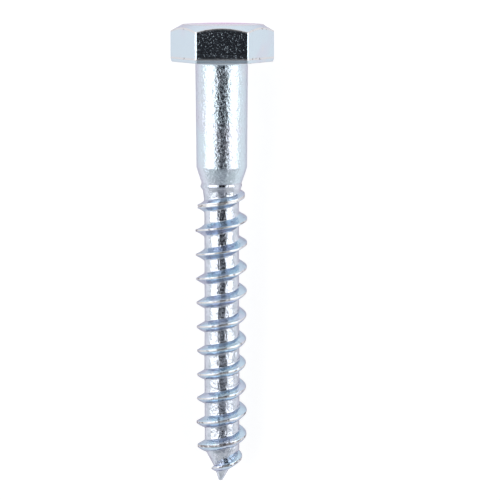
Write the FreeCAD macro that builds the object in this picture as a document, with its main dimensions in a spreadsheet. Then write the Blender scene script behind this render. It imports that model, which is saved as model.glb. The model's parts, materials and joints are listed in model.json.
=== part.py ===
import FreeCAD, Part
import math
import os
import Sketcher

# Hexagon-head lag screw, 10 x 80, headed and thread-rolled in one piece from steel wire.
# The screw is modelled along its own X axis: the bearing face of the head lies in the
# plane X = 0, the head reaches to -X and the gimlet point to +X. The finished screw is
# then tilted about Y, as it lies on a level surface: on the near edge of its lower flat
# and on the last full thread crest that faces down.

SIZES = [
    # head
    ("across_flats", 16.8, "width of the hexagon, flat to flat"),
    ("head_height", 7.0, "bearing face to the top of the head"),
    ("head_corner_radius", 0.5, "rounding of the six upright corners"),
    ("head_top_diameter", 14.6, "flat circle inside the top chamfer"),
    ("head_chamfer_angle", 30.0, "slope of the top chamfer, degrees"),
    ("rim_height", 0.7, "height of the bevel round the bearing face"),
    ("rim_depth", 0.17, "how far that bevel stands in at the bearing face"),
    ("under_head_radius", 0.5, "fillet from the bearing face to the shank"),
    # blank under the head
    ("screw_length", 80.0, "bearing face to the tip"),
    ("shank_diameter", 9.7, "plain shank"),
    ("shank_length", 20.0, "plain shank under the head"),
    ("shoulder_radius", 5.0, "soft edge where the shank starts to draw in"),
    ("shoulder_length", 2.85, "cone from the shank down to the neck"),
    ("neck_diameter", 7.65, "unthreaded ring below the shoulder"),
    ("neck_length", 0.35, "length of that ring"),
    ("neck_fall_length", 1.1, "cone from the ring down to the core"),
    ("core_diameter", 6.6, "bottom of the thread"),
    ("point_length", 6.3, "cone of the point, up from the tip"),
    ("point_knee_length", 3.0, "where that cone turns slimmer, up from the tip"),
    ("point_knee_diameter", 3.0, "diameter of the point at that place"),
    ("tip_diameter", 0.7, "blunt end of the point"),
    # thread
    ("thread_pitch", 4.6, "crest to crest, right-handed"),
    ("flank_angle", 30.0, "each flank against the plane across the axis, degrees"),
    ("thread_diameter", 10.0, "over the first full crest"),
    ("thread_end_diameter", 9.5, "over the last full crest"),
    ("crest_width", 0.33, "flat on a full crest"),
    ("first_crest_diameter", 8.8, "crest after the first rise"),
    ("first_crest_width", 0.86, "wide crest of the first turn"),
    ("thread_lead_in", 0.3, "the ridge starts this far before the shoulder ends"),
    ("rise_turns", 0.5, "turns in which the ridge rises out of the neck"),
    ("settle_turns", 1.5, "turns from the first crest to the full thread"),
    ("thread_start_angle", 176.4, "where the ridge starts, from +Y towards +Z, degrees"),
    ("full_thread_end", 6.8, "last full crest, up from the tip"),
    ("point_crest_length", 4.5, "crest half a turn lower, up from the tip"),
    ("point_crest_diameter", 7.7, "diameter over that crest"),
    ("last_crest_length", 2.2, "last crest, up from the tip"),
    ("last_crest_diameter", 4.0, "diameter over the last crest"),
    ("thread_end", 0.3, "where the ridge has faded, up from the tip"),
    ("foot_depth", 0.2, "how deep the foot of the ridge sits in the blank"),
]

# Values that follow from the sizes. Places along the axis start at the bearing face.
DERIVED = [
    ("neck_start", "=shank_length + shoulder_length"),
    ("neck_end", "=neck_start + neck_length"),
    ("core_start", "=neck_end + neck_fall_length"),
    ("point_start", "=screw_length - point_length"),
    ("point_knee", "=screw_length - point_knee_length"),
    ("thread_start", "=neck_start - thread_lead_in"),
    ("first_crest", "=thread_start + thread_pitch * rise_turns"),
    ("full_crest", "=first_crest + thread_pitch * settle_turns"),
    ("full_thread_stop", "=screw_length - full_thread_end"),
    ("point_crest", "=screw_length - point_crest_length"),
    ("last_crest", "=screw_length - last_crest_length"),
    ("thread_stop", "=screw_length - thread_end"),
    ("crest_taper", "=(thread_diameter - thread_end_diameter) / 2 / (full_thread_stop - full_crest)"),
    # Down is at 270 degrees round the axis, or at 630 after one more turn.
    ("first_down_crest", "=thread_start + thread_pitch * mod(630 - thread_start_angle; 360) / 360"),
    ("down_turns", "=floor((full_thread_stop - first_down_crest) / thread_pitch)"),
    ("low_crest", "=first_down_crest + thread_pitch * down_turns"),
    ("low_crest_radius", "=thread_diameter / 2 - crest_taper * (low_crest - full_crest)"),
    ("rest_drop", "=across_flats / 2 - low_crest_radius"),
    ("rest_reach", "=low_crest + crest_width / 2 + rim_height"),
    ("rest_tilt", "=atan(rest_drop / rest_reach) / 1 deg"),
]

# The outline of the blank from the bearing face to the tip: (place along the axis, radius).
BLANK_CORNERS = [
    ("0", "sizes.shank_diameter / 2"),
    ("sizes.shank_length", "sizes.shank_diameter / 2"),
    ("sizes.neck_start", "sizes.neck_diameter / 2"),
    ("sizes.neck_end", "sizes.neck_diameter / 2"),
    ("sizes.core_start", "sizes.core_diameter / 2"),
    ("sizes.point_start", "sizes.core_diameter / 2"),
    ("sizes.point_knee", "sizes.point_knee_diameter / 2"),
    ("sizes.screw_length", "sizes.tip_diameter / 2"),
]

SAME_PLACE = 1e-6  # mm, within which two points count as one

document = FreeCAD.newDocument("lag_screw")


def make_sheet():
    """The driving sizes in rows of name, value and note, then the values that follow."""
    sheet = document.addObject("Spreadsheet::Sheet", "sizes")
    rows = [(name, str(number), note) for name, number, note in SIZES]
    rows += [(name, formula, "") for name, formula in DERIVED]
    for row, (name, content, note) in enumerate(rows, start=1):
        sheet.set(f"A{row}", name)
        sheet.set(f"B{row}", content)
        sheet.set(f"C{row}", note)
        sheet.setAlias(f"B{row}", name)
    document.recompute()
    return sheet


sheet = make_sheet()


def size(name):
    """A driving size or a value that follows from them, as a plain number."""
    return float(sheet.get(name))


def new_sketch(body, name, role):
    """An empty sketch on one of the body's own origin planes, such as XZ_Plane."""
    plane = next(item for item in body.Origin.OriginFeatures if item.Role == role)
    sketch = body.newObject("Sketcher::SketchObject", name)
    sketch.AttachmentSupport = (plane, [""])
    sketch.MapMode = "FlatFace"
    return sketch


def close_outline(sketch, points):
    """Straight lines from point to point and back to the first, joined at their ends."""
    count = len(points)
    for i in range(count):
        sketch.addGeometry(Part.LineSegment(points[i], points[(i + 1) % count]), False)
    for i in range(count):
        sketch.addConstraint(Sketcher.Constraint("Coincident", i, 2, (i + 1) % count, 1))


def pin_start(sketch, line, kind, axis, expression):
    """Hold the start of a line at a distance from one axis of the sketch, or on that axis."""
    distance = sheet.evalExpression(expression)
    if distance == 0:
        sketch.addConstraint(Sketcher.Constraint("PointOnObject", line, 1, axis))
        return
    index = sketch.addConstraint(Sketcher.Constraint(kind, -1, 1, line, 1, distance))
    sketch.setExpression(f"Constraints[{index}]", expression)


def turned_profile(body, name, corners):
    """A closed outline beside the X axis; a corner is (place along the axis, radius)."""
    sketch = new_sketch(body, name, "XZ_Plane")
    points = [
        FreeCAD.Vector(sheet.evalExpression(place), sheet.evalExpression(radius), 0)
        for place, radius in corners
    ]
    close_outline(sketch, points)
    across, along = -2, -1
    for line, (place, radius) in enumerate(corners):
        pin_start(sketch, line, "DistanceX", across, place)
        pin_start(sketch, line, "DistanceY", along, radius)
    return sketch


def hexagon_sketch(body):
    """The outline of the head, with corners at +Y and -Y and flats at +Z and -Z."""
    sketch = new_sketch(body, "hexagon", "YZ_Plane")
    sides = 6
    corner_radius = size("across_flats") / 2 / math.cos(math.pi / sides)
    angles = [2 * math.pi * i / sides for i in range(sides)]
    close_outline(
        sketch,
        [FreeCAD.Vector(math.cos(a), math.sin(a), 0) * corner_radius for a in angles],
    )
    circle = sketch.addGeometry(
        Part.Circle(FreeCAD.Vector(0, 0, 0), FreeCAD.Vector(0, 0, 1), corner_radius), True
    )
    sketch.addConstraint(Sketcher.Constraint("Coincident", circle, 3, -1, 1))
    for i in range(sides):
        sketch.addConstraint(Sketcher.Constraint("PointOnObject", i, 1, circle))
    for i in range(1, sides):
        sketch.addConstraint(Sketcher.Constraint("Equal", 0, i))
    top_flat = 1
    sketch.addConstraint(Sketcher.Constraint("Horizontal", top_flat))
    pin_start(sketch, top_flat, "DistanceY", -1, "sizes.across_flats / 2")
    return sketch


def edges_where(feature, test):
    """Names of the feature's edges that pass a test."""
    edges = feature.Shape.Edges
    return [f"Edge{i + 1}" for i, edge in enumerate(edges) if test(edge)]


def upright_edges(feature):
    """The edges that run along the axis."""
    return edges_where(
        feature, lambda edge: abs(edge.Vertexes[0].X - edge.Vertexes[-1].X) > SAME_PLACE
    )


def edges_at(feature, place):
    """The edges that lie in the plane across the axis at a place."""
    return edges_where(
        feature, lambda edge: all(abs(v.X - place) < SAME_PLACE for v in edge.Vertexes)
    )


def ring_edges(feature, place, radius):
    """The edges that go round the axis at a place, with a given radius."""

    def on_ring(vertex):
        off_axis = math.hypot(vertex.Y, vertex.Z)
        return abs(vertex.X - place) < SAME_PLACE and abs(off_axis - radius) < SAME_PLACE

    return edges_where(feature, lambda edge: all(on_ring(v) for v in edge.Vertexes))


def add_hexagon(body):
    """The head as forged: a hexagonal block with eased corners."""
    block = body.newObject("PartDesign::Pad", "head_block")
    block.Profile = hexagon_sketch(body)
    block.setExpression("Length", "sizes.head_height")
    block.Reversed = True
    document.recompute()

    corners = body.newObject("PartDesign::Fillet", "head_corners")
    corners.Base = (block, upright_edges(block))
    corners.setExpression("Radius", "sizes.head_corner_radius")
    document.recompute()
    return corners


def finish_head(body, block):
    """The turned chamfer on top, which leaves an arc on each flat, and the bevelled rim."""
    top = "-sizes.head_height"
    circle = "sizes.head_top_diameter / 2"
    beyond_corners = "sizes.across_flats"
    fall = f"({beyond_corners} - {circle}) * tan(sizes.head_chamfer_angle * 1 deg)"
    chamfer = body.newObject("PartDesign::Groove", "head_chamfer")
    chamfer.Profile = turned_profile(
        body,
        "head_chamfer_profile",
        [(top, circle), (f"{top} + {fall}", beyond_corners), (top, beyond_corners)],
    )
    chamfer.ReferenceAxis = (chamfer.Profile[0], ["H_Axis"])
    chamfer.Angle = 360
    document.recompute()
    if chamfer.Shape.Volume >= block.Shape.Volume:
        raise RuntimeError("the chamfer takes nothing off the head")

    rim = body.newObject("PartDesign::Chamfer", "head_rim")
    rim.Base = (chamfer, edges_at(chamfer, 0))
    rim.ChamferType = "Two distances"
    rim.setExpression("Size", "sizes.rim_height")
    rim.setExpression("Size2", "sizes.rim_depth")
    document.recompute()


def add_blank(body):
    """Shank, shoulder, neck, core and point, turned as one form, with two soft edges."""
    blank = body.newObject("PartDesign::Revolution", "blank")
    outline = [("0", "0"), *BLANK_CORNERS, ("sizes.screw_length", "0")]
    blank.Profile = turned_profile(body, "blank_profile", outline)
    blank.ReferenceAxis = (blank.Profile[0], ["H_Axis"])
    blank.Angle = 360
    document.recompute()
    shank_radius = size("shank_diameter") / 2

    under_head = body.newObject("PartDesign::Fillet", "under_head_fillet")
    under_head.Base = (blank, ring_edges(blank, 0, shank_radius))
    under_head.setExpression("Radius", "sizes.under_head_radius")
    document.recompute()

    shoulder = body.newObject("PartDesign::Fillet", "shoulder_fillet")
    shoulder.Base = (under_head, ring_edges(under_head, size("shank_length"), shank_radius))
    shoulder.setExpression("Radius", "sizes.shoulder_radius")
    document.recompute()


def between(stations, place):
    """The value at a place, on straight runs through (place, value) stations."""
    for (start, first), (stop, last) in zip(stations, stations[1:]):
        if place <= stop:
            return first + (last - first) * (place - start) / (stop - start)
    return stations[-1][1]


class ThreadRidge:
    """The ridge of the thread: one strip that winds round the blank from neck to tip.

    Its section is a trapezoid with straight flanks. The foot stays just inside the blank
    all the way. The crest rises out of the neck, runs almost level and comes down with the
    point, so that both ends of the ridge fade into the blank.
    """

    CORNERS = 4
    STEPS_PER_TURN = 8
    LEAST_STEPS = 4
    NUDGE = 1e-5  # mm along the axis, for the slope at the end of an edge

    def __init__(self):
        self.pitch = size("thread_pitch")
        self.flank = math.tan(math.radians(size("flank_angle")))
        self.start_angle = math.radians(size("thread_start_angle"))
        self.start = size("thread_start")
        self.stop = size("thread_stop")
        foot_depth = size("foot_depth")
        blank = [
            (sheet.evalExpression(place), sheet.evalExpression(radius))
            for place, radius in BLANK_CORNERS
        ]
        self.foot = [(place, radius - foot_depth) for place, radius in blank]
        self.crest = [
            (self.start, between(blank, self.start) - foot_depth / 2),
            (size("first_crest"), size("first_crest_diameter") / 2),
            (size("full_crest"), size("thread_diameter") / 2),
            (size("full_thread_stop"), size("thread_end_diameter") / 2),
            (size("point_crest"), size("point_crest_diameter") / 2),
            (size("last_crest"), size("last_crest_diameter") / 2),
            (self.stop, between(blank, self.stop) - foot_depth / 2),
        ]
        self.width = [
            (self.start, size("first_crest_width")),
            (size("first_crest"), size("first_crest_width")),
            (size("full_crest"), size("crest_width")),
            (self.stop, size("crest_width")),
        ]

    def corner(self, place, index):
        """A corner of the section whose middle is at a place: foot, crest, crest, foot."""
        foot = between(self.foot, place)
        crest = between(self.crest, place)
        half_crest = between(self.width, place) / 2
        half_foot = half_crest + (crest - foot) * self.flank
        offset = (-half_foot, -half_crest, half_crest, half_foot)[index]
        radius = (foot, crest, crest, foot)[index]
        angle = self.start_angle + 2 * math.pi * (place - self.start) / self.pitch
        return FreeCAD.Vector(
            place + offset, radius * math.cos(angle), radius * math.sin(angle)
        )

    def edge(self, start, stop, index):
        """The curve that one corner of the section draws between two places."""
        turns = (stop - start) / self.pitch
        steps = max(self.LEAST_STEPS, math.ceil(self.STEPS_PER_TURN * turns))
        places = [start + (stop - start) * i / steps for i in range(steps + 1)]
        points = [self.corner(place, index) for place in places]
        leaving = self.corner(start + self.NUDGE, index) - points[0]
        arriving = points[-1] - self.corner(stop - self.NUDGE, index)
        curve = Part.BSplineCurve()
        curve.interpolate(
            Points=points,
            Parameters=places,
            InitialTangent=leaving / self.NUDGE,
            FinalTangent=arriving / self.NUDGE,
            Scale=False,
        )
        return curve.toShape()

    def stretches(self):
        """Starts and stops of the ridge's pieces: at each change of form, a turn at most."""
        stations = self.foot + self.crest + self.width
        places = sorted({place for place, _ in stations})
        cuts = [place for place in places if self.start <= place <= self.stop]
        for start, stop in zip(cuts, cuts[1:]):
            pieces = math.ceil((stop - start) / self.pitch)
            step = (stop - start) / pieces
            for i in range(pieces):
                yield start + i * step, start + (i + 1) * step

    def cap(self, place):
        """The flat end of the ridge, which lies inside the blank."""
        points = [self.corner(place, i % self.CORNERS) for i in range(self.CORNERS + 1)]
        return Part.Face(Part.makePolygon(points))

    def solid(self):
        """The closed ridge: ruled strips between the curves of its corners, and two caps."""
        faces = [self.cap(self.start), self.cap(self.stop)]
        for start, stop in self.stretches():
            edges = [self.edge(start, stop, i) for i in range(self.CORNERS)]
            for i, edge in enumerate(edges):
                faces.append(Part.makeRuledSurface(edge, edges[(i + 1) % self.CORNERS]))
        shell = Part.makeShell(faces)
        shell.sewShape()
        ridge = Part.makeSolid(shell)
        if ridge.Volume < 0:
            ridge.reverse()
        return ridge


def lay_down(screw):
    """Tilt the screw about Y through the bearing face, as it lies on its head and thread."""
    about_y = FreeCAD.Rotation(FreeCAD.Vector(0, 1, 0), size("rest_tilt"))
    screw.Placement = FreeCAD.Placement(FreeCAD.Vector(0, 0, 0), about_y)
    screw.setExpression(".Placement.Rotation.Angle", "sizes.rest_tilt * 1 deg")


def check(screw):
    """Stop if any object failed, or if the finished screw is not one sound solid."""
    for item in document.Objects:
        if "Invalid" in item.State or "Error" in item.State:
            raise RuntimeError(f"{item.Name} failed: {item.State}")
    if screw.Shape.isNull() or not screw.Shape.isValid():
        raise RuntimeError("the screw is not a valid shape")
    if len(screw.Shape.Solids) != 1:
        raise RuntimeError("the screw is not one solid")


head_and_blank = document.addObject("PartDesign::Body", "head_and_blank")
finish_head(head_and_blank, add_hexagon(head_and_blank))
add_blank(head_and_blank)

thread_ridge = document.addObject("Part::Feature", "thread_ridge")
thread_ridge.Shape = ThreadRidge().solid()

lag_screw = document.addObject("Part::Fuse", "lag_screw")
lag_screw.Label = "lag_screw"
lag_screw.Base = head_and_blank
lag_screw.Tool = thread_ridge
lay_down(lag_screw)
document.recompute()
check(lag_screw)

os.makedirs("parts", exist_ok=True)
lag_screw.Shape.exportStep(f"parts/{lag_screw.Label}.step")
print(f"rest tilt {size('rest_tilt'):.4f} degrees, on the crest at {size('low_crest'):.3f} mm")
print(f"volume {lag_screw.Shape.Volume:.1f} cubic mm, {len(lag_screw.Shape.Faces)} faces")
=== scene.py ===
# %% [markdown]
# # A zinc-plated lag screw
# A lag screw is headed and thread-rolled from one piece of steel wire: a hexagon head, a plain
# shank, a soft shoulder, and a coarse wood thread that runs out on a gimlet point. The plating is
# bright blue-white zinc. It mirrors its surroundings, so half of the work is in what stands round
# the screw, and the other half in an exact thread with soft edges.
#
# The screw lies on a level floor, on one flat of its head and one crest of its thread. The scene
# is in metres, in the frame of the engineering model, which is loaded first. The screw itself is
# drawn in millimetres along X, and is laid down in metres at the end.

# %% Load the frame
import collections
import functools
import json
import math

import bmesh
import bpy
from mathutils import Matrix, Vector, noise


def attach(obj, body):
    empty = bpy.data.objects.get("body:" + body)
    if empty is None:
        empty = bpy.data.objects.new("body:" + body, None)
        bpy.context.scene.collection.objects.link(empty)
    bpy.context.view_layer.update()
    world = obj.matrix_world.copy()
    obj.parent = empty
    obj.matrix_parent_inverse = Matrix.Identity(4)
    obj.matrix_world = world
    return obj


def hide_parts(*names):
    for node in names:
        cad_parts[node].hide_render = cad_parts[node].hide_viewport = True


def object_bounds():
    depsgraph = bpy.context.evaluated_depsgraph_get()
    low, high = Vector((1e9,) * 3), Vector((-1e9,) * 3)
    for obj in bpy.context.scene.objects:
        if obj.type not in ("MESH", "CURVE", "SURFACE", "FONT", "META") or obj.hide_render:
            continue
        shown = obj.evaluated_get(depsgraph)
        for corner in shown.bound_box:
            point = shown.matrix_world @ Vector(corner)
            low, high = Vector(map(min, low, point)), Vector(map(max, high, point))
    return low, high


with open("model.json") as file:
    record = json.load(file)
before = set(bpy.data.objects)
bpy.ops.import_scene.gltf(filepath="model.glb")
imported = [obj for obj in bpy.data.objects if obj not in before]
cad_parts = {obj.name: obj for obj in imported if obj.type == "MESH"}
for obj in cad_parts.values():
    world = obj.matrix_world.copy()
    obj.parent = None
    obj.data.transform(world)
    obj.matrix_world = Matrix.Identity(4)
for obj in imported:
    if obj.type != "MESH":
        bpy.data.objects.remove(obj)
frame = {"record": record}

cad_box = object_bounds()
mm = 0.001
print("box of the model in mm:", [round(v / mm, 2) for corner in cad_box for v in corner])

# %% [markdown]
# The record names the bearing face, the ring under the head. Its centre is the origin, and its
# axis points along the screw to the tip. The axis dips by about three degrees, because the thread
# is slimmer than the head. Reading the dip from the record keeps this script true to the model if
# a size changes there.

# %% How the screw lies
mounts = {mount["name"]: mount for mount in frame["record"]["mounts"]}
axis = Vector(mounts["bearing_face"]["axis"])
dip = math.atan2(-axis.z, axis.x)
lay_down = Matrix.Rotation(dip, 4, "Y")
floor_height = cad_box[0].z
print("the axis dips by", round(math.degrees(dip), 3), "degrees")

# %% [markdown]
# ## Camera
# A small part is photographed from some distance with a long lens, so its sides stay parallel.
# The screw could be stood up in front of a level camera, but it would not stand there by itself.
# So it lies, and the camera looks down on it. It leans a little towards the head end, which shows
# some of the chamfer on the head, and aims at a point beside the screw, so the screw sits left of
# the middle of the picture.

# %% Camera
frame_pixels = 500
focal_pixels = 2200
camera_distance = 415.6 * mm
camera_lean = math.radians(4.96)
aim_along = 35.5 * mm
aim_beside = 5.3 * mm

camera_data = bpy.data.cameras.new("camera")
camera_data.sensor_width = 36
camera_data.lens = camera_data.sensor_width * focal_pixels / frame_pixels
camera = bpy.data.objects.new("camera", camera_data)
bpy.context.scene.collection.objects.link(camera)
aim = axis * aim_along + Vector((0, aim_beside, 0))
to_camera = Vector((-math.sin(camera_lean), 0, math.cos(camera_lean)))
picture_right = Vector((0, 1, 0))
picture_up = to_camera.cross(picture_right)
camera.matrix_world = Matrix.Translation(aim + to_camera * camera_distance) @ Matrix(
    (picture_right, picture_up, to_camera)
).transposed().to_4x4()
bpy.context.scene.camera = camera
bpy.context.scene.view_settings.view_transform = "Standard"
print("lens", round(camera_data.lens, 1), "mm, picture up", [round(v, 3) for v in picture_up])

# %% [markdown]
# ## Studio
# Bright plating shows what it reflects. The floor is white, and two long soft lamps stand to the
# left and right. Between them, above the camera, hangs a black card: its reflection is the dark
# stripe down the middle of the shank, and all that the upper flat of the head shows. A grey card
# beyond the point gives the shoulder its grey.
#
# The stripe could be painted on the screw instead, but then it would stay in its place when the
# screw is seen from another side. A card also gives the shank and the slimmer core each the right
# width of stripe. All of this stands at least 49 cm away, so that a camera that goes round the
# screw at 42 cm has nothing in its way.

# %% Stage helpers
def plain_material(name, color, roughness=1.0):
    """One plain dull colour, for a card."""
    material = bpy.data.materials.new(name)
    material.use_nodes = True
    shader = material.node_tree.nodes["Principled BSDF"]
    shader.inputs["Base Color"].default_value = (*color, 1)
    shader.inputs["Roughness"].default_value = roughness
    shader.inputs["Specular IOR Level"].default_value = 0
    return material


def stage_sheet(name, corners, material):
    """A flat sheet of the studio with four corners, given in order."""
    sheet = bmesh.new()
    sheet.faces.new([sheet.verts.new(corner) for corner in corners])
    mesh = bpy.data.meshes.new(name)
    sheet.to_mesh(mesh)
    sheet.free()
    mesh.materials.append(material)
    obj = bpy.data.objects.new(name, mesh)
    bpy.context.scene.collection.objects.link(obj)
    return obj


def level_sheet(name, x_range, y_range, height, material):
    """A level sheet between two places along the screw and two across it."""
    (x0, x1), (y0, y1) = x_range, y_range
    corners = [(x0, y0, height), (x1, y0, height), (x1, y1, height), (x0, y1, height)]
    return stage_sheet(name, corners, material)


# %% [markdown]
# ### Floor
# A photographer lights a white floor until it is pure white, apart from the screw. Here one lamp
# setting has to serve both, so the floor asks what kind of ray has found it. To light that only
# bounces off it, it is plain white board. To the camera and in the plating, it glows and takes
# only a share of the light, which makes it white and still keeps the soft shadow of the screw.

# %% Floor
board_white = 0.85
floor_share_of_light = 0.38
glow_in_plating = 0.70
glow_to_camera = 0.76
floor_reach = 4000 * mm


def add_visible_ray_switch(tree, path):
    """1 for rays from the camera and for reflected rays, 0 for light that only falls on things."""
    either = tree.nodes.new("ShaderNodeMath")
    either.operation = "MAXIMUM"
    tree.links.new(path.outputs["Is Camera Ray"], either.inputs[0])
    tree.links.new(path.outputs["Is Glossy Ray"], either.inputs[1])
    return either.outputs[0]


def add_dull_white(tree, value):
    """A dull surface that throws back a share of all colours."""
    dull = tree.nodes.new("ShaderNodeBsdfDiffuse")
    dull.inputs["Color"].default_value = (value, value, value, 1)
    return dull.outputs[0]


def make_white_floor():
    """White board to the light in the room, and glowing white to whoever looks at it."""
    material = bpy.data.materials.new("white_floor")
    material.use_nodes = True
    tree = material.node_tree
    tree.nodes.clear()
    path = tree.nodes.new("ShaderNodeLightPath")
    strength = tree.nodes.new("ShaderNodeMapRange")
    strength.inputs["To Min"].default_value = glow_in_plating
    strength.inputs["To Max"].default_value = glow_to_camera
    tree.links.new(path.outputs["Is Camera Ray"], strength.inputs["Value"])
    glow = tree.nodes.new("ShaderNodeEmission")
    tree.links.new(strength.outputs["Result"], glow.inputs["Strength"])
    seen = tree.nodes.new("ShaderNodeAddShader")
    tree.links.new(add_dull_white(tree, floor_share_of_light), seen.inputs[0])
    tree.links.new(glow.outputs[0], seen.inputs[1])
    mix = tree.nodes.new("ShaderNodeMixShader")
    tree.links.new(add_visible_ray_switch(tree, path), mix.inputs["Fac"])
    tree.links.new(add_dull_white(tree, board_white), mix.inputs[1])
    tree.links.new(seen.outputs[0], mix.inputs[2])
    output = tree.nodes.new("ShaderNodeOutputMaterial")
    tree.links.new(mix.outputs[0], output.inputs["Surface"])
    return material


floor_sides = (-floor_reach, floor_reach)
level_sheet("floor", floor_sides, floor_sides, floor_height, make_white_floor())
print("floor at", round(floor_height / mm, 3), "mm")

# %% [markdown]
# ### Cards, lamps and room
# The cards hang level, edge to edge. Each lamp leans over the screw, with its top edge beside the
# black card and its foot low down, so a white band follows the dark stripe on both sides.
# The right lamp starts a little further out, which puts the stripe right of the middle. Cards and
# lamps are hidden from the camera, and the plating still shows them.

# %% Cards overhead
card_height = 500 * mm
near_edge, shared_edge, far_edge = -380 * mm, 190 * mm, 700 * mm
black_card = level_sheet(
    "black_card",
    (near_edge, shared_edge),
    (-198 * mm, 268 * mm),
    card_height,
    plain_material("black_card", (0.02, 0.02, 0.024)),
)
grey_card = level_sheet(
    "grey_card",
    (shared_edge, far_edge),
    (-320 * mm, 320 * mm),
    card_height,
    plain_material("grey_card", (0.47, 0.49, 0.53)),
)
for card in (black_card, grey_card):
    card.visible_camera = False
    print(card.name, "hangs at", round(card_height / mm), "mm")

# %% Lamps
lamp_from, lamp_to = -380 * mm, 180 * mm
lamp_brightness = 1.52


def add_lamp(name, top, foot):
    """A long soft lamp between two edges, each a place in Y and Z in mm."""
    top, foot = Vector((0, *top)) * mm, Vector((0, *foot)) * mm
    data = bpy.data.lights.new(name, "AREA")
    data.shape = "RECTANGLE"
    data.size = lamp_to - lamp_from
    data.size_y = (top - foot).length
    data.energy = lamp_brightness * data.size * data.size_y * math.pi
    lamp = bpy.data.objects.new(name, data)
    bpy.context.scene.collection.objects.link(lamp)
    along = Vector((1, 0, 0))
    rise = (top - foot).normalized()
    if foot.y > 0:
        rise = -rise
    middle = (top + foot) / 2 + along * (lamp_from + lamp_to) / 2
    lamp.matrix_world = Matrix.Translation(middle) @ Matrix(
        (along, rise, along.cross(rise))
    ).transposed().to_4x4()
    lamp.visible_camera = False
    return lamp


for name, top, foot in (
    ("lamp_right", (284, 424), (480, 106)),
    ("lamp_left", (-222, 471), (-480, 106)),
):
    lamp = add_lamp(name, top, foot)
    shines = lamp.matrix_world.to_3x3() @ Vector((0, 0, -1))
    print(name, "shines towards", [round(v, 2) for v in shines])

# %% Room
# Past the edge of the floor the camera sees white. The screw gets the softer light of the room.
room_color = (0.97, 0.98, 1.0)
room_strength = 0.66

world = bpy.data.worlds.new("studio")
world.use_nodes = True
bpy.context.scene.world = world
nodes, links = world.node_tree.nodes, world.node_tree.links
nodes.clear()
room = nodes.new("ShaderNodeBackground")
room.inputs["Color"].default_value = (*room_color, 1)
room.inputs["Strength"].default_value = room_strength
white = nodes.new("ShaderNodeBackground")
white.inputs["Color"].default_value = (1, 1, 1, 1)
white.inputs["Strength"].default_value = 1
mix = nodes.new("ShaderNodeMixShader")
links.new(nodes.new("ShaderNodeLightPath").outputs["Is Camera Ray"], mix.inputs["Fac"])
links.new(room.outputs[0], mix.inputs[1])
links.new(white.outputs[0], mix.inputs[2])
links.new(mix.outputs[0], nodes.new("ShaderNodeOutputWorld").inputs["Surface"])
print("the room gives the screw", room_strength, "of white")

# %% [markdown]
# ## The outline of the screw
# The blank is a turned form. Its outline is a run of straight stretches, with each corner eased
# into the next, because a rolled and plated screw has no hard corner. The corners could be beveled
# later, but other shapes ask for the radius too: the ridge has to know where it meets the core.
# A sum of bends gives the eased line in a few words. Each corner adds its change of slope from
# there on, a little at a time.

# %% Eased outlines
def eased_line(corners):
    """The height of a line over a place. A corner is (place, height, how far it is eased)."""
    slopes = [(b[1] - a[1]) / (b[0] - a[0]) for a, b in zip(corners, corners[1:])]
    turns = [
        (corner[0], corner[2], after - before)
        for corner, before, after in zip(corners[1:], slopes, slopes[1:])
    ]

    def height(place):
        value = corners[0][1] + slopes[0] * (place - corners[0][0])
        for corner, ease, turn in turns:
            past = place - corner
            if past >= ease:
                value += turn * past
            elif past > -ease:
                value += turn * (past + ease) ** 2 / (4 * ease)
        return value

    return height


# %% Blank
# Place along the axis, radius and easing, in mm. The shank is thickest under the head. After the
# shoulder comes a narrow ring, left by the thread rolls, then the neck, the core and the point.
screw_length = 80.0
blank = eased_line(
    [
        (0.0, 4.92, 0),
        (3.0, 4.89, 1.5),
        (8.0, 4.85, 2.0),
        (19.75, 4.757, 0.10),
        (21.2, 4.31, 0.8),
        (22.90, 3.70, 0.08),
        (23.06, 3.85, 0.06),
        (23.18, 3.85, 0.06),
        (24.00, 3.56, 0.25),
        (26.00, 3.30, 0.60),
        (28.00, 3.27, 1.0),
        (50.00, 3.27, 3.0),
        (56.00, 3.34, 3.0),
        (73.85, 3.30, 0.40),
        (77.15, 1.58, 0.60),
        (screw_length, 0.35, 0),
    ]
)
for place in (1, 19, 22.5, 23, 30, 75, 79):
    print(f"radius at {place} mm: {blank(place):.2f} mm")

# %% [markdown]
# ## The thread
# A wood screw's thread is a ridge with steep flanks and a wide gap. It could be a ridge that is
# fused to the core, but a boolean leaves thin slivers where the two meet, and the plating would
# show each of them. So ridge and core are one skin. One pitch of its section is drawn as a line
# of a few points, its corners are rounded with a vertex bevel, and its long runs are divided.
#
# A spin that also moves along the axis winds this line once round into a turn of a tube. The turn
# is copied down the axis, which is faster than a spin over all turns. Each turn ends where the
# next one starts, so merging the doubles closes the tube.
#
# The section carries two values on its vertices: where it sits along the pitch, and how high it
# stands on the ridge. The spin and the copies keep them, and they are used afterwards to give each
# turn its own height and width. The other layers are masks, which the plating reads at the end.

# %% Section of one pitch
pitch = 4.6
flank = math.tan(math.radians(30))
drawn_height = 1.7
drawn_crest = 0.40
drawn_foot = drawn_crest / 2 + drawn_height * flank
foot_rounding = 0.16
crest_rounding = 0.12
beside_the_seam = 0.05
spin_radius = 3.3

screw = bmesh.new()
along = screw.verts.layers.float.new("along")
raised = screw.verts.layers.float.new("raised")
worn = screw.verts.layers.float.new("worn")
battered = screw.verts.layers.float.new("battered")
blushed = screw.verts.layers.float.new("blushed")
in_seam = screw.verts.layers.float.new("in_seam")


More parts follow.
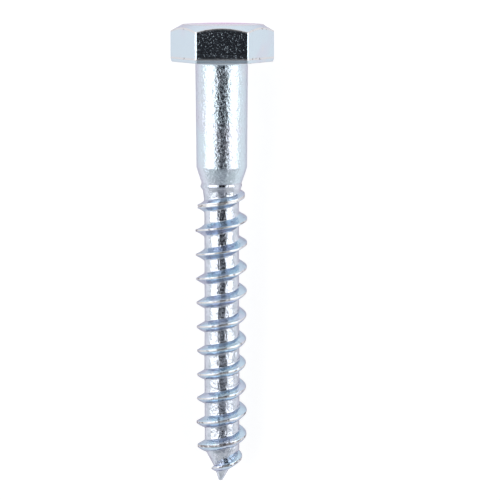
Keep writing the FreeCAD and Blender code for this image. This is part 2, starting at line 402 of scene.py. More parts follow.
def draw_section():
    """One pitch of the thread's section, as joined edges above the X axis."""
    half = pitch / 2
    right = [
        (0, 1), (beside_the_seam, 1), (drawn_crest / 2, 1), (drawn_foot, 0), (half, 0),
    ]
    left = [(-x, share) for x, share in reversed(right[1:])]
    line = [
        screw.verts.new((x, 0, spin_radius + drawn_height * share)) for x, share in left + right
    ]
    for a, b in zip(line, line[1:]):
        screw.edges.new((a, b))
    for corner, rounding in (
        (line[1], foot_rounding),
        (line[7], foot_rounding),
        (line[2], crest_rounding),
        (line[6], crest_rounding),
    ):
        bmesh.ops.bevel(
            screw, geom=[corner], offset=rounding, offset_type="OFFSET", segments=3,
            profile=0.5, affect="VERTICES", material=-1,
        )
    # The flanks are the longest runs, and the two halves of the gap come next.
    for shortest, cuts in ((1.3, 5), (0.8, 6)):
        runs = [edge for edge in screw.edges if edge.calc_length() > shortest]
        bmesh.ops.subdivide_edges(screw, edges=runs, cuts=cuts)


draw_section()
for vert in screw.verts:
    vert[along] = vert.co.x
    vert[raised] = (vert.co.z - spin_radius) / drawn_height
print("points in the section:", len(screw.verts))

# %% Wind one turn and copy it
turns = 14
first_crest_place = 17.8
first_crest_angle = math.radians(164.66)
steps_per_turn = 120

bmesh.ops.spin(
    screw, geom=screw.verts[:] + screw.edges[:], cent=(0, 0, 0), axis=(1, 0, 0),
    dvec=(pitch / steps_per_turn, 0, 0), angle=2 * math.pi, steps=steps_per_turn,
)
one_turn = screw.verts[:] + screw.edges[:] + screw.faces[:]
for turn in range(1, turns):
    copied = bmesh.ops.duplicate(screw, geom=one_turn)["geom"]
    points = [item for item in copied if isinstance(item, bmesh.types.BMVert)]
    bmesh.ops.translate(screw, verts=points, vec=(pitch * turn, 0, 0))
points_before = len(screw.verts)
bmesh.ops.remove_doubles(screw, verts=screw.verts, dist=0.001)
print("turns:", turns, "points:", points_before, "after merging:", len(screw.verts))

# %% [markdown]
# ### How the ridge runs
# On the real screw, the ridge rises out of the neck in half a turn with a wide first crest,
# reaches its full height, and comes down with the point. The rolls never press it quite even: the
# crests wander along the axis and sag a little on top and on the right, and the first come late.
# Each of these is an eased line or a small function of the turn, so that each can be read and
# changed by itself.

# %% Height and width of the crest
ridge_start, ridge_end = 22.55, 79.70
crest_radius = eased_line(
    [
        (ridge_start, 3.75, 0),
        (24.90, 4.50, 0.6),
        (27.20, 4.47, 0.6),
        (29.50, 4.92, 0.8),
        (31.70, 4.94, 1.0),
        (34.00, 4.86, 1.0),
        (41.00, 4.81, 2.0),
        (50.00, 4.69, 2.0),
        (57.00, 4.61, 2.0),
        (62.50, 4.66, 2.0),
        (68.50, 4.86, 1.2),
        (71.00, 4.70, 0.8),
        (73.20, 4.64, 0.5),
        (75.50, 4.00, 0.8),
        (77.80, 1.85, 0.6),
        (ridge_end, 0.30, 0),
    ]
)
crest_width = eased_line(
    [
        (ridge_start, 0.60, 0),
        (25.00, 0.66, 1.0),
        (26.80, 0.84, 0.8),
        (29.50, 0.40, 1.0),
        (36.00, 0.39, 2.0),
        (68.00, 0.39, 2.0),
        (71.50, 0.52, 1.0),
        (73.20, 0.66, 0.8),
        (75.50, 0.60, 0.8),
        (77.80, 0.20, 0.8),
        (ridge_end, 0.14, 0),
    ]
)
for place in (25, 30, 50, 75):
    print("crest at", place, "mm:", round(crest_radius(place), 2), round(crest_width(place), 2))

# %% Place of the crest
crest_wander = 0.035
sag_on_top = 0.11
sag_on_the_right = 0.13
right_sag_angle = math.radians(54)
late_start = eased_line([(ridge_start, 0.30, 0), (27.0, 0.0, 1.5), (ridge_end, 0.0, 0)])
late_start_over = 30


def angle_at(turn):
    """Angle round the axis, in radians: 0 is right in the picture, a quarter turn is up."""
    return first_crest_angle + 2 * math.pi * turn


def plain_place(turn):
    """Where an even thread would have its crest on a turn."""
    return first_crest_place + pitch * turn


def crest_place(turn):
    """The crest of a turn. The powers keep each sag to a short stretch of the way round."""
    place = plain_place(turn)
    sag = sag_on_top * max(0.0, math.sin(angle_at(turn))) ** 3
    sag += sag_on_the_right * max(0.0, math.cos(angle_at(turn) - right_sag_angle)) ** 40
    wander = crest_wander * noise.noise(Vector((turn * 0.9, 3.1, 0)))
    late = late_start(max(place, ridge_start)) if place < late_start_over else 0
    return place + late + sag + wander


def gap_middle(turn):
    """The bottom of the gap between a turn and the next."""
    return (crest_place(turn) + crest_place(turn + 1)) / 2


first_ring, last_ring = gap_middle(0), gap_middle(turns - 1)
print("the tube reaches from", round(first_ring, 2), "to", round(last_ring, 2), "mm")

# %% [markdown]
# ### Flanks
# A straight flank leaves the crest at thirty degrees and comes down on the blank. The real flanks
# are lean near the neck and have a belly further down, more so on the side to the tip and on the
# right. A belly could be sculpted, but the screw has a dozen turns of it, so it is a bend that is
# added to the straight flank. It grows with the ridge, because a bend on a ridge of no height
# would fold the skin over itself.

# %% Bellies of the flanks
belly_to_head = eased_line(
    [(ridge_start, -0.05, 0), (32, -0.18, 3), (42, 0.02, 3), (ridge_end, 0.02, 0)]
)
belly_to_tip = eased_line(
    [
        (ridge_start, -0.10, 0),
        (32, -0.12, 2),
        (50, 0.12, 3),
        (76, 0.10, 1),
        (ridge_end, -0.1, 0),
    ]
)
belly_on_the_right = eased_line(
    [(ridge_start, 0.10, 0), (42, 0.16, 3), (50, 0.24, 2), (74, 0.24, 1), (ridge_end, 0, 0)]
)
belly_needs_reach = 0.3
seam_depth = eased_line(
    [(ridge_start, 0.22, 0), (27.0, 0.18, 1.5), (32.0, 0.03, 1.5), (ridge_end, 0.03, 0)]
)
print("belly towards the tip at 60 mm:", round(belly_to_tip(60), 2), "mm")

# %% Form of the ridge at a step
crest_off_axis = 0.06
crest_unevenness = 0.03
Ridge = collections.namedtuple(
    "Ridge", "crest top half_width foot foot_radius ends kept_ends seam belly"
)


def foot_of_flank(crest, radius, half_width, side):
    """Where a flank that leaves the crest on one side comes down on the blank."""
    place = crest
    for _ in range(6):
        place = crest + side * (half_width + (radius - blank(place)) * flank)
    return place


@functools.cache
def ridge_at(step, side):
    """The ridge at one step of the winding, with the flank on one side of its crest."""
    turn = step / steps_per_turn
    even = plain_place(turn)
    crest = crest_place(turn)
    to_the_right = math.cos(angle_at(turn))
    top = crest_radius(even) - crest_off_axis * to_the_right
    top += crest_unevenness * noise.noise(Vector((turn * 2.3, 0, 7.7)))
    half_width = crest_width(even) / 2
    foot = crest + side * half_width
    if top > blank(crest):
        foot = foot_of_flank(crest, top, half_width, side)
    ends = gap_middle(turn - 1), gap_middle(turn)
    kept_ends = max(ends[0], first_ring), min(ends[1], last_ring)
    seam = seam_depth(even) * (1 + noise.noise(Vector((turn * 5, 9.2, 0))))
    belly = belly_to_tip(even) if side > 0 else belly_to_head(even)
    belly += belly_on_the_right(even) * (1 + to_the_right) / 2
    belly *= min(1.0, (abs(foot - crest) - half_width) / belly_needs_reach) ** 2
    return Ridge(crest, top, half_width, foot, blank(foot), ends, kept_ends, seam, belly)


# %% [markdown]
# ### Each point in its place
# Now each point of the tube is put where the real thread has it. Its turn follows from its place,
# and the two values that it carries say where it is in the section. The first and the last turn
# are squeezed against a flat end, so that the tube starts and ends in a level ring, to which the
# shank and the tip can be joined. Points that meet there are merged.

# %% A point of the section at a step
seam_half_width = 0.01
ridge_with_seam = 0.3


def thread_point(step, along_pitch, height_share):
    """Place along the axis and radius of a point of the section at a step."""
    side = -1 if along_pitch < 0 else 1
    ridge = ridge_at(step, side)
    crest, half_width = ridge.crest, ridge.half_width
    drawn = abs(along_pitch)
    reach, gap = abs(ridge.foot - crest), abs(ridge.ends[side > 0] - crest)
    if drawn <= drawn_crest / 2:
        offset = half_width * drawn / (drawn_crest / 2)
    elif drawn <= drawn_foot:
        share = (drawn - drawn_crest / 2) / (drawn_foot - drawn_crest / 2)
        offset = half_width + share * (reach - half_width) + ridge.belly * 4 * share * (1 - share)
    else:
        share = (drawn - drawn_foot) / (pitch / 2 - drawn_foot)
        offset = reach + share * (gap - reach)

    start, end = ridge.ends
    room = (ridge.kept_ends[1] - ridge.kept_ends[0]) / (end - start)
    place = ridge.kept_ends[0] + (crest + side * offset - start) * room
    under = blank(place)
    if drawn <= drawn_foot and ridge.top > ridge.foot_radius:
        under += room * (ridge.foot_radius - under)
    radius = under + height_share * max(0.0, ridge.top - under) * room
    if drawn < seam_half_width and ridge.top > under + ridge_with_seam:
        radius -= ridge.seam * room
    return place, radius


# %% [markdown]
# ### Marks of this one screw
# The rolls left a small lip on the ring above the thread, and a seam where the metal met in the
# first crests. Two nicks were struck into the core. The last turns are battered from lying among
# other screws, and the point was bent aside a little. Such marks could be bumps in the plating,
# but the lip and the bend show in the outline, so all that has a shape is in the mesh. The masks
# tell the plating where to be scuffed, and where to paint the seam and the nicks dark; in the
# seam this dark is painted shade.

# %% Burr, nicks and masks
# A nick is given by its place, its angle in degrees and half its length. The lines say, along the
# screw, how far the thread is off the axis of the shank, and how strong each mask is.
burr_place, burr_half_length, burr_height, burr_half_angle = 23.50, 0.42, 0.24, 50
nicks = ((55.1, 38.8, 0.45), (59.2, 29.0, 0.35))
nick_half_angle, nick_depth = 2.0, 0.28
rolled_off_axis = eased_line(
    [(0, 0, 0), (20.5, 0, 0.3), (24, -0.04, 1), (77.8, -0.04, 0.5), (screw_length, -0.34, 0)]
)
batter = eased_line(
    [(0, 0, 0), (27, 0, 2), (32, 0.3, 2), (66, 0.3, 2), (71, 1, 1), (screw_length, 1, 0)]
)
ridge_shows = eased_line([(0, 0, 0), (23.3, 0, 0.1), (24.1, 1, 0.1), (screw_length, 1, 0)])
seam_shows = eased_line(
    [(0, 0, 0), (23.5, 0, 0.1), (24.5, 1, 0.1), (27.5, 1, 0.5), (30, 0, 0.5), (80, 0, 0)]
)


def burr(place, angle):
    """Height of the small lip on the ring above the thread, on the left of the screw."""
    around = math.degrees(angle) % 360 - 180
    lip = max(0.0, 1 - (around / burr_half_angle) ** 2)
    lip *= max(0.0, 1 - ((place - burr_place) / burr_half_length) ** 2)
    return burr_height * lip


def in_a_nick(place, angle):
    """Whether a point of the core is in a nick: a short groove at a place and an angle."""
    for nick_place, nick_angle, half_length in nicks:
        around = (math.degrees(angle) - nick_angle + 180) % 360 - 180
        if abs(place - nick_place) < half_length and abs(around) < nick_half_angle:
            return True
    return False


print("the tip is bent aside by", round(rolled_off_axis(screw_length), 2), "mm")

# %% Put each point of the thread in its place
ridge_begins = 0.3
rubbed_share = 0.15
for vert in screw.verts:
    step = round((vert.co.x - vert[along]) / pitch * steps_per_turn)
    angle = angle_at(step / steps_per_turn)
    place, radius = thread_point(step, vert[along], vert[raised])
    if radius > blank(place) + ridge_begins:
        vert[worn] = max(0.0, 1 - (1 - vert[raised]) / rubbed_share)
        if abs(vert[along]) < seam_half_width:
            # The seam of the first crests is marked to be painted dark: painted shade in its
            # groove.
            vert[in_seam] = seam_shows(place) * (0.7 + noise.noise(Vector((step * 0.06, 0, 4))))
    else:
        radius += burr(place, angle)
        if in_a_nick(place, angle):
            radius -= nick_depth
            # A nick is marked to be painted the same dark as the seam.
            vert[in_seam] = 1
    vert[battered] = batter(place)
    vert[raised] *= ridge_shows(place)
    sideways, up = radius * math.cos(angle), radius * math.sin(angle)
    vert.co = (place, rolled_off_axis(place) + sideways, up)
bmesh.ops.remove_doubles(screw, verts=screw.verts, dist=0.0005)
print("points of the thread:", len(screw.verts))

# %% [markdown]
# ## Shank and tip
# The shank could be spun by itself and bridged to the thread. Extruding the open ring above the
# thread, ring by ring, up to the fillet under the head, needs no bridge and leaves no seam. Each
# new ring is made round and gets the radius of the blank at its place. The ring below the thread
# is drawn in to a blunt tip and merged to one point.

# %% Extrude rings
def grow(edges, move):
    """Extrude an open ring of edges, move each new point, and return the new ring."""
    made = bmesh.ops.extrude_edge_only(screw, edges=edges)["geom"]
    for item in made:
        if isinstance(item, bmesh.types.BMVert):
            item.co = move(item.co)
            for layer in (worn, raised, battered):
                item[layer] = 0
    return [item for item in made if isinstance(item, bmesh.types.BMEdge) and item.is_boundary]


def moved_to(place, wider=1.0, middle=0.0):
    """A move to a place along the axis, and out from the middle of the ring by a ratio."""
    return lambda point: Vector((place, middle + (point.y - middle) * wider, point.z * wider))


def round_at(place, radius):
    """A move that puts a point on a circle round the axis, at its own angle."""
    def move(point):
        ratio = radius / math.hypot(point.y, point.z)
        return Vector((place, point.y * ratio, point.z * ratio))
    return move


def points_of(edges):
    """The points of a ring of edges, each once."""
    return list({vert for edge in edges for vert in edge.verts})


open_edges = [edge for edge in screw.edges if edge.is_boundary]
shank_ring = [edge for edge in open_edges if edge.verts[0].co.x < screw_length / 2]
tip_ring = [edge for edge in open_edges if edge.verts[0].co.x > screw_length / 2]
print("edges in the open rings:", len(shank_ring), len(tip_ring))

# %% Shank and fillet
# The rings are close together where the shank turns into the shoulder.
at_the_turn = (20.1, 19.9, 19.8, 19.7, 19.6, 19.3, 18.8, 18)
up_the_shank = (16.5, 15, 13, 11, 9, 7.5, 6, 4.5, 3, 2, 1)
for place in at_the_turn + up_the_shank:
    shank_ring = grow(shank_ring, round_at(place, blank(place)))

under_head_radius = 0.5
fillet_steps = 6
for step in range(fillet_steps + 1):
    bend = math.pi / 2 * step / fillet_steps
    place = under_head_radius * (1 - math.sin(bend))
    radius = blank(under_head_radius) + under_head_radius * (1 - math.cos(bend))
    shank_ring = grow(shank_ring, round_at(place, radius))
print("the fillet meets the head at a radius of", round(radius, 2), "mm")

# %% Tip
tip_off_axis = rolled_off_axis(screw_length)
for place, narrower in ((last_ring + 0.06, 0.86), (screw_length, 0.64), (screw_length, 0.45)):
    tip_ring = grow(tip_ring, moved_to(place, narrower, tip_off_axis))
bmesh.ops.pointmerge(
    screw, verts=points_of(tip_ring), merge_co=(screw_length, tip_off_axis, 0)
)
print("edges left open:", sum(edge.is_boundary for edge in screw.edges))

# %% [markdown]
# ## Head
# The head is forged as a hexagon with eased corners, and its top is then turned to a cone. That
# cut leaves an arc on each flat: a point of the outline comes down further the further out it
# lies. A boolean with a cone would cut the arcs too, but here they come for nothing. The outline
# starts as a circle of six points, its corners are rounded with a vertex bevel, its sides are
# divided, and once it is extruded each point comes down the side of the head as far as the cone
# leaves it. One corner came out of the die softer than the others.

# %% Outline of the head
across_flats = 16.86
head_height = 7.0
corner_radius = 0.45
soft_corner_ratio = 1.45
top_circle = 7.50
chamfer_slope = math.tan(math.radians(30))
rim_height = 0.7
rim_depth = 0.17

inner = across_flats / 2 - rim_depth
head_points = bmesh.ops.create_circle(
    screw, cap_ends=False, segments=6, radius=inner / math.cos(math.radians(30)),
    matrix=Matrix.Rotation(math.radians(90), 4, "Y"),
)["verts"]
corner_easing = corner_radius * math.tan(math.radians(30))
soft_corner = [point for point in head_points if point.co.z > 1 and point.co.y < 0]
hard_corners = [point for point in head_points if point not in soft_corner]
for corners, offset in (
    (soft_corner, corner_easing * soft_corner_ratio),
    (hard_corners, corner_easing),
):
    bmesh.ops.bevel(
        screw, geom=corners, offset=offset, offset_type="OFFSET", segments=5,
        profile=0.5, affect="VERTICES", material=-1,
    )
outline = [edge for edge in screw.edges if edge.is_wire]
long_sides = [edge for edge in outline if edge.calc_length() > across_flats / 4]
bmesh.ops.subdivide_edges(screw, edges=long_sides, cuts=11)
outline = [edge for edge in screw.edges if edge.is_wire]
print("edges in the outline of the head:", len(outline))

# %% Sides, chamfer and top
# Next to the bearing face the head is drawn in a little, so the outline grows to its full width
# in two steps, over the height of this rim.
full_share = across_flats / 2 / inner
half_share = (1 + full_share) / 2


def onto_cone(point):
    """Down the side of the head, as far as the turned cone leaves it."""
    reach = math.hypot(point.y, point.z)
    return Vector((-head_height + (reach - top_circle) * chamfer_slope, point.y, point.z))


def halfway_to_top(point):
    """The middle of the cone, between an arc and the top circle."""
    reach = math.hypot(point.y, point.z)
    ratio = (reach + top_circle) / 2 / reach
    return Vector(((point.x - head_height) / 2, point.y * ratio, point.z * ratio))


rim = outline
rim_middle = grow(rim, moved_to(-rim_height / 2, half_share))
rim_top = grow(rim_middle, moved_to(-rim_height, full_share / half_share))
side = grow(rim_top, moved_to(-head_height / 2))
arcs = grow(side, onto_cone)
cone_middle = grow(arcs, halfway_to_top)
top_edge = grow(cone_middle, round_at(-head_height, top_circle))
top = top_edge
for radius in (6.4, 4.2, 2.0):
    top = grow(top, round_at(-head_height, radius))
bmesh.ops.pointmerge(screw, verts=points_of(top), merge_co=(-head_height, 0, 0))
top_face = [vert for vert in screw.verts if vert.co.x < -head_height + 0.01]
print("points in the top face:", len(top_face))

# %% [markdown]
# ### Bloom, and a head that is not quite true
# The passivated top face has a faint pink bloom, strongest on the half towards the floor. The
# camera sees it edge-on, as a thin pink line. It could be a colour by place, but a mask that is
# written here, where the top face is known, stays right if the head gets another height. The head
# was forged a little off the axis of the shank, and its cone was cut a little off its middle. On a
# turned part, a tenth of a millimetre of this can be seen in the outline.

# %% Bloom and offsets of the head
cone_off_middle = 0.08
forged_off_axis = 0.13
outside_the_fillet = 6
for vert in top_face:
    sideways, backward = vert.co.y / top_circle, -vert.co.z / top_circle
    vert[blushed] = max(0.0, 1 - sideways ** 2) * max(0.0, 0.3 + 0.7 * backward)

bmesh.ops.translate(screw, verts=top_face, vec=(0, cone_off_middle, 0))
head = [
    vert for vert in screw.verts if vert.co.x < -0.01 or vert.co.yz.length > outside_the_fillet
]
bmesh.ops.translate(screw, verts=head, vec=(0, forged_off_axis, 0))
print("points moved with the head:", len(head))

# %% [markdown]
# ### Underside and eased edges
# The bearing face is the ring between the rim of the head and the fillet of the shank. A face of a
# mesh can't have a hole, so the two rings are bridged. Two rings in one plane give a bridge no
# direction, so the inner one is lifted while it is made. The edges of the head are then beveled,
# because it is the light on these narrow eased edges that makes forged steel look solid. A bevel
# reads which side of a face is out, so the normals are made to agree first.

# %% Underside, joined to the fillet of the shank
underside_radius = 7.4
lift = 0.3
underside = grow(rim, round_at(0, underside_radius))
inner_points = points_of(shank_ring)
bmesh.ops.translate(screw, verts=inner_points, vec=(lift, 0, 0))
bmesh.ops.bridge_loops(screw, edges=underside + shank_ring)
bmesh.ops.translate(screw, verts=inner_points, vec=(-lift, 0, 0))
print("faces before the edges are eased:", len(screw.faces))

# %% Ease the edges of the head
bmesh.ops.recalc_face_normals(screw, faces=screw.faces)
for edges, easing in ((rim, 0.05), (rim_top, 0.05), (arcs, 0.07), (top_edge, 0.10)):
    eased = bmesh.ops.bevel(
        screw, geom=edges, offset=easing, offset_type="OFFSET", segments=3, profile=0.5,
        affect="EDGES", material=-1,
    )
    for vert in {vert for face in eased["faces"] for vert in face.verts}:
        vert[worn] = 1
bmesh.ops.recalc_face_normals(screw, faces=screw.faces)
print("faces:", len(screw.faces), "volume in cubic mm:", round(screw.calc_volume(signed=True), 1))
print("open edges:", sum(not edge.is_manifold for edge in screw.edges))

# %% [markdown]
# ## The finished piece
# The screw is one piece of steel, so it stays one mesh, with one material for each kind of
# surface: forged head, drawn shank, rolled thread. It is scaled to metres, laid down, and stands
# for the engineering solid. The weighted normals keep the flats of the head flat up to their
# eased edges.

# %% Make the object
head_end, thread_begins = 0.05, 22.6
for face in screw.faces:
    place = face.calc_center_median().x
    face.material_index = 0 if place < head_end else 1 if place < thread_begins else 2
    face.smooth = True
bmesh.ops.transform(screw, matrix=lay_down @ Matrix.Scale(mm, 4), verts=screw.verts)
screw_mesh = bpy.data.meshes.new("zinc_plated_screw")
screw.to_mesh(screw_mesh)
screw.free()
zinc_plated_screw = bpy.data.objects.new("zinc_plated_screw", screw_mesh)
bpy.context.scene.collection.objects.link(zinc_plated_screw)
weighted = zinc_plated_screw.modifiers.new("flat_faces_stay_flat", "WEIGHTED_NORMAL")
weighted.keep_sharp = True
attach(zinc_plated_screw, "root")
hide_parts("lag_screw")
print("points in the piece:", len(screw_mesh.vertices))

# %% [markdown]
# ## Plating
# Zinc passivated in blue-white is a metal with a cool tint. The flanks of the thread are painted a
# darker steel blue between white crests, as painted shade between the ridges. At a shallow angle
# every edge turns a little lavender and darker: the lavender is the metal's edge colour, and the
# darkening is painted shade, the screw's shadow on the floor as the edges reflect it. One colour
# and a plain metal would be quick, but would look like chrome. So the three surfaces share three
# effects: a grain of tiny bumps, a tint that drifts, and rubbed edges. Each effect is a node
# group, built once, and each material gives it its own values.

# %% Node group helpers
def new_group(name, inputs, outputs):
    """A node group with named sockets, and its input and output nodes."""
    tree = bpy.data.node_groups.new(name, "ShaderNodeTree")
    for kind, socket, value in inputs:
        made = tree.interface.new_socket(name=socket, in_out="INPUT", socket_type=kind)
        if value is not None:
            made.default_value = value
    for kind, socket in outputs:
        tree.interface.new_socket(name=socket, in_out="OUTPUT", socket_type=kind)
    return tree, tree.nodes.new("NodeGroupInput"), tree.nodes.new("NodeGroupOutput")


def add_noise(tree, vector, scale, detail, roughness, distortion=0.0):
    """A noise texture on given coordinates, which are in metres."""
    texture = tree.nodes.new("ShaderNodeTexNoise")
    texture.inputs["Scale"].default_value = scale
    texture.inputs["Detail"].default_value = detail
    texture.inputs["Roughness"].default_value = roughness
    texture.inputs["Distortion"].default_value = distortion
    tree.links.new(vector, texture.inputs["Vector"])
    return texture.outputs["Fac"]


def add_ramp(tree, value, low, high):
    """A mask that rises from 0 to 1 between two values."""
    ramp = tree.nodes.new("ShaderNodeMapRange")
    ramp.interpolation_type = "SMOOTHSTEP"
    ramp.inputs["From Min"].default_value = low
    ramp.inputs["From Max"].default_value = high
    tree.links.new(value, ramp.inputs["Value"])
    return ramp.outputs["Result"]


def add_color_mix(tree, factor, first, second):
    """Mix two colours, each a socket or a plain colour."""
    mix = tree.nodes.new("ShaderNodeMix")
    mix.data_type = "RGBA"
    tree.links.new(factor, mix.inputs["Factor"])
    for socket, color in (("A", first), ("B", second)):
        target = next(s for s in mix.inputs if s.name == socket and s.type == "RGBA")
        if isinstance(color, bpy.types.NodeSocket):
            tree.links.new(color, target)
        else:
            target.default_value = (*color, 1)
    return next(s for s in mix.outputs if s.type == "RGBA")


def add_bump(tree, distance, height, under=None):
    """A bump of a given depth, laid over another one."""
    bump = tree.nodes.new("ShaderNodeBump")
    tree.links.new(distance, bump.inputs["Distance"])
    tree.links.new(height, bump.inputs["Height"])
    if under is not None:
        tree.links.new(under, bump.inputs["Normal"])
    return bump.outputs["Normal"]


# %% [markdown]
# ### Grain
# Close up, plated steel has slow waves from the forge or the drawing die, a fine grain from the
# crystals of the zinc, and thin curved lines of scale. The rolled thread also has streaks round
# it, deeper where it is battered. All of it is too fine for the mesh, so four bumps are laid over
# each other, each with a depth that the material sets.

# %% Grain of the plating
def make_grain_group():
    """The plated steel close up: slow waves, streaks, fine grain, and thin curved lines."""
    depths = ("Wave Depth", "Streak Depth", "Grain Depth", "Line Depth")
    tree, given, out = new_group(
        "plating_grain",
        [("NodeSocketVector", "Coordinates", None)]
        + [("NodeSocketFloat", depth, 0.0) for depth in (*depths, "Battered")],
        [("NodeSocketVector", "Normal")],
    )
    where = given.outputs["Coordinates"]
    stretched = tree.nodes.new("ShaderNodeVectorMath")
    stretched.operation = "MULTIPLY"
    tree.links.new(where, stretched.inputs[0])
    stretched.inputs[1].default_value = (0.45, 1, 1)
    streak_depth = tree.nodes.new("ShaderNodeMath")
    streak_depth.operation = "MULTIPLY_ADD"
    tree.links.new(given.outputs["Battered"], streak_depth.inputs[0])
    tree.links.new(given.outputs["Streak Depth"], streak_depth.inputs[1])
    tree.links.new(given.outputs["Streak Depth"], streak_depth.inputs[2])

    waves = add_noise(tree, where, scale=420, detail=2, roughness=0.5)
    streaks = add_noise(tree, stretched.outputs[0], scale=1100, detail=2, roughness=0.6)
    grain = add_noise(tree, where, scale=1800, detail=3, roughness=0.6, distortion=0.3)
    scale = add_noise(tree, where, scale=3000, detail=1, roughness=0.5, distortion=0.6)
    lines = add_ramp(tree, scale, 0.585, 0.70)
    normal = add_bump(tree, given.outputs["Wave Depth"], waves)
    normal = add_bump(tree, streak_depth.outputs[0], streaks, normal)
    normal = add_bump(tree, given.outputs["Grain Depth"], grain, normal)
    normal = add_bump(tree, given.outputs["Line Depth"], lines, normal)
    tree.links.new(normal, out.inputs["Normal"])
    return tree


plating_grain = make_grain_group()
print("nodes in the grain:", len(plating_grain.nodes))

# %% [markdown]
# ### Tint
# The passivation film is never the same thickness. Where it drifts, the blue turns to lavender or
# to straw, in patches of a few millimetres. On the thread, small grey clouds lie over the core as
# well. Patches could be painted by hand, but noise on the screw's own coordinates gives them
# everywhere, on the back too. The flanks take their own two darker blues, painted shade between
# the ridges, wherever the mask says that the ridge stands up from the core.

# %% Colours of the plating
zinc_blue = (0.645, 0.750, 0.825)
zinc_pale = (0.69, 0.73, 0.81)
zinc_clouded = (0.57, 0.62, 0.70)
zinc_lavender = (0.66, 0.70, 0.79)
zinc_straw = (0.70, 0.75, 0.78)
# The two flank colours are darker blues: painted shade between the ridges.
shaded_flank_blue = (0.55, 0.69, 0.81)
shaded_flank_lavender = (0.585, 0.65, 0.78)
rubbed_zinc = (0.73, 0.725, 0.735)
scuffed_zinc = (0.28, 0.26, 0.27)
# Painted shade for the seam's groove; the nicks are painted with the same dark.
seam_shade_and_nick_dark = (0.13, 0.13, 0.15)
# The edge colours are the metal's lavender, set darker as painted shade for the floor's shadow
# that the edges reflect.
lavender_edge_and_shade = (0.72, 0.66, 0.74)
thread_lavender_edge_and_shade = (0.61, 0.56, 0.63)
blush_tint = (0.84, 0.30, 0.76)


# %% Tint of the plating
def make_tint_group():
    """The cool colour of the plating: it drifts to lavender and straw, with painted shade on
    flanks.
    """
    tree, given, out = new_group(
        "plating_tint",
        [
            ("NodeSocketVector", "Coordinates", None),
            ("NodeSocketColor", "Base", (1, 1, 1, 1)),
            ("NodeSocketFloat", "Raised", 0.0),
            ("NodeSocketFloat", "Clouds", 0.0),
        ],
        [("NodeSocketColor", "Color")],
    )
    where = given.outputs["Coordinates"]
    drift = add_noise(tree, where, scale=130, detail=2, roughness=0.5)
    color = add_color_mix(
        tree, add_ramp(tree, drift, 0.48, 0.72), given.outputs["Base"], zinc_lavender
    )
    patches = add_noise(tree, where, scale=210, detail=3, roughness=0.6, distortion=0.5)
    color = add_color_mix(tree, add_ramp(tree, patches, 0.62, 0.80), color, zinc_straw)

    clouds = tree.nodes.new("ShaderNodeMath")
    clouds.operation = "MULTIPLY"
    mottle = add_noise(tree, where, scale=900, detail=3, roughness=0.6)
    tree.links.new(add_ramp(tree, mottle, 0.40, 0.66), clouds.inputs[0])
    tree.links.new(given.outputs["Clouds"], clouds.inputs[1])
    color = add_color_mix(tree, clouds.outputs[0], color, zinc_clouded)

    # The flanks are painted a darker blue, as shade between the ridges.
    flank_drift = add_noise(tree, where, scale=260, detail=2, roughness=0.5)
    flank_shade_color = add_color_mix(
        tree, add_ramp(tree, flank_drift, 0.45, 0.62), shaded_flank_blue, shaded_flank_lavender
    )
    on_flank = add_ramp(tree, given.outputs["Raised"], 0.0, 0.15)
    color = add_color_mix(tree, on_flank, color, flank_shade_color)
    tree.links.new(color, out.inputs["Color"])
    return tree


plating_tint = make_tint_group()
print("nodes in the tint:", len(plating_tint.nodes))

# %% [markdown]
# ### Worn edges
# Crests and the edges of the head rub against other screws in the box. The film is gone there, so
# the metal is brighter, less blue and a little rougher, with dark scuffs where it was hit. Edge
# wear is often found with a pointiness node, but that depends on the mesh around it. The mesh
# was told where its edges are when they were made, so a mask is exact. The seam in the first
# crests is painted dark, as painted shade in its groove, and the nicks are painted the same dark.

# %% Worn edges
worn_roughness = 0.30
more_scuffs_where_battered = 0.15


def make_wear_group():
    """Edges that have been rubbed bright, with darker scuffs, where the mask says so."""
    tree, given, out = new_group(
        "worn_edges",
        [
            ("NodeSocketVector", "Coordinates", None),
            ("NodeSocketFloat", "Worn", 0.0),
            ("NodeSocketFloat", "Battered", 0.0),
            ("NodeSocketFloat", "In Seam", 0.0),
            ("NodeSocketColor", "Color", (1, 1, 1, 1)),
            ("NodeSocketFloat", "Roughness", 0.2),
        ],
        [("NodeSocketColor", "Color"), ("NodeSocketFloat", "Roughness")],
    )
    edge = add_ramp(tree, given.outputs["Worn"], 0.85, 1.0)
    hits = add_noise(tree, given.outputs["Coordinates"], scale=900, detail=2, roughness=0.6)
    marks = tree.nodes.new("ShaderNodeMath")
    marks.operation = "MULTIPLY_ADD"
    tree.links.new(given.outputs["Battered"], marks.inputs[0])
    marks.inputs[1].default_value = more_scuffs_where_battered
    tree.links.new(hits, marks.inputs[2])
    scuffs = add_ramp(tree, marks.outputs[0], 0.60, 0.70)
    rubbed = add_color_mix(tree, scuffs, rubbed_zinc, scuffed_zinc)
    color = add_color_mix(tree, edge, given.outputs["Color"], rubbed)
    # The seam is painted dark here, as painted shade in its groove, and the nicks get the same
    # dark.
    seam_and_nick_dark = add_ramp(tree, given.outputs["In Seam"], 0.45, 0.95)
    color = add_color_mix(tree, seam_and_nick_dark, color, seam_shade_and_nick_dark)
    tree.links.new(color, out.inputs["Color"])

    rougher = tree.nodes.new("ShaderNodeMapRange")
    rougher.inputs["To Max"].default_value = worn_roughness
    tree.links.new(edge, rougher.inputs["Value"])
    tree.links.new(given.outputs["Roughness"], rougher.inputs["To Min"])
    tree.links.new(rougher.outputs["Result"], out.inputs["Roughness"])
    return tree


worn_edges = make_wear_group()
print("nodes in the wear:", len(worn_edges.nodes))

# %% [markdown]
# ### One material for each surface
# Each material is a full metal, with the three groups in front of it. The lavender at shallow
# angles is the metal's own edge colour, Specular Tint, so it needs no mixing by angle. It is set
# darker than the metal, as painted shade for the screw's shadow on the floor that the edges
# reflect. The drawn shank has the deepest grain, the forged head a shallow one with deeper lines,
# and the rolled thread has streaks and clouds.

# %% Materials
plating_roughness = 0.15


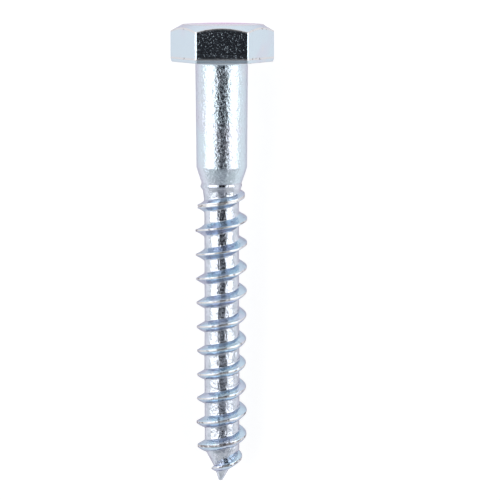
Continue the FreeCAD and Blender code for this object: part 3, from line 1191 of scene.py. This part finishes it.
def add_group(tree, group, **values):
    """Use a node group in a material, with its sockets set to values or linked."""
    node = tree.nodes.new("ShaderNodeGroup")
    node.node_tree = group
    for name, value in values.items():
        socket = node.inputs[name.replace("_", " ")]
        if isinstance(value, bpy.types.NodeSocket):
            tree.links.new(value, socket)
        else:
            socket.default_value = value
    return node.outputs


def make_plating(name, base, edge, clouds, **depths):
    """Blue-white zinc on one kind of surface, with a base colour and an edge colour."""
    material = bpy.data.materials.new(name)
    material.use_nodes = True
    tree = material.node_tree
    shader = tree.nodes["Principled BSDF"]
    shader.inputs["Metallic"].default_value = 1
    where = tree.nodes.new("ShaderNodeTexCoord").outputs["Object"]
    masks = {}
    for layer in ("worn", "raised", "battered", "blushed", "in_seam"):
        mask = tree.nodes.new("ShaderNodeAttribute")
        mask.attribute_name = layer
        masks[layer] = mask.outputs["Fac"]

    tint = add_group(
        tree, plating_tint, Coordinates=where, Base=(*base, 1), Raised=masks["raised"],
        Clouds=clouds,
    )
    surface = add_group(
        tree, worn_edges, Coordinates=where, Worn=masks["worn"], Battered=masks["battered"],
        In_Seam=masks["in_seam"], Color=tint["Color"], Roughness=plating_roughness,
    )
    grain = add_group(
        tree, plating_grain, Coordinates=where, Battered=masks["battered"], **depths
    )
    tree.links.new(surface["Color"], shader.inputs["Base Color"])
    tree.links.new(surface["Roughness"], shader.inputs["Roughness"])
    tree.links.new(grain["Normal"], shader.inputs["Normal"])
    # The edge colour holds painted shade as well as the metal's own lavender.
    bloom = add_color_mix(tree, masks["blushed"], edge, blush_tint)
    tree.links.new(bloom, shader.inputs["Specular Tint"])
    return material


for material in (
    make_plating(
        "zinc_on_forged_head", zinc_blue, lavender_edge_and_shade, clouds=0,
        Wave_Depth=0.02 * mm, Streak_Depth=0, Grain_Depth=0.035 * mm, Line_Depth=0.010 * mm,
    ),
    make_plating(
        "zinc_on_drawn_shank", zinc_blue, lavender_edge_and_shade, clouds=0,
        Wave_Depth=0.02 * mm, Streak_Depth=0, Grain_Depth=0.14 * mm, Line_Depth=0.006 * mm,
    ),
    make_plating(
        "zinc_on_rolled_thread", zinc_pale, thread_lavender_edge_and_shade, clouds=1,
        Wave_Depth=0.04 * mm, Streak_Depth=0.10 * mm, Grain_Depth=0.07 * mm, Line_Depth=0.004 * mm,
    ),
):
    screw_mesh.materials.append(material)
    print("material", material.name)
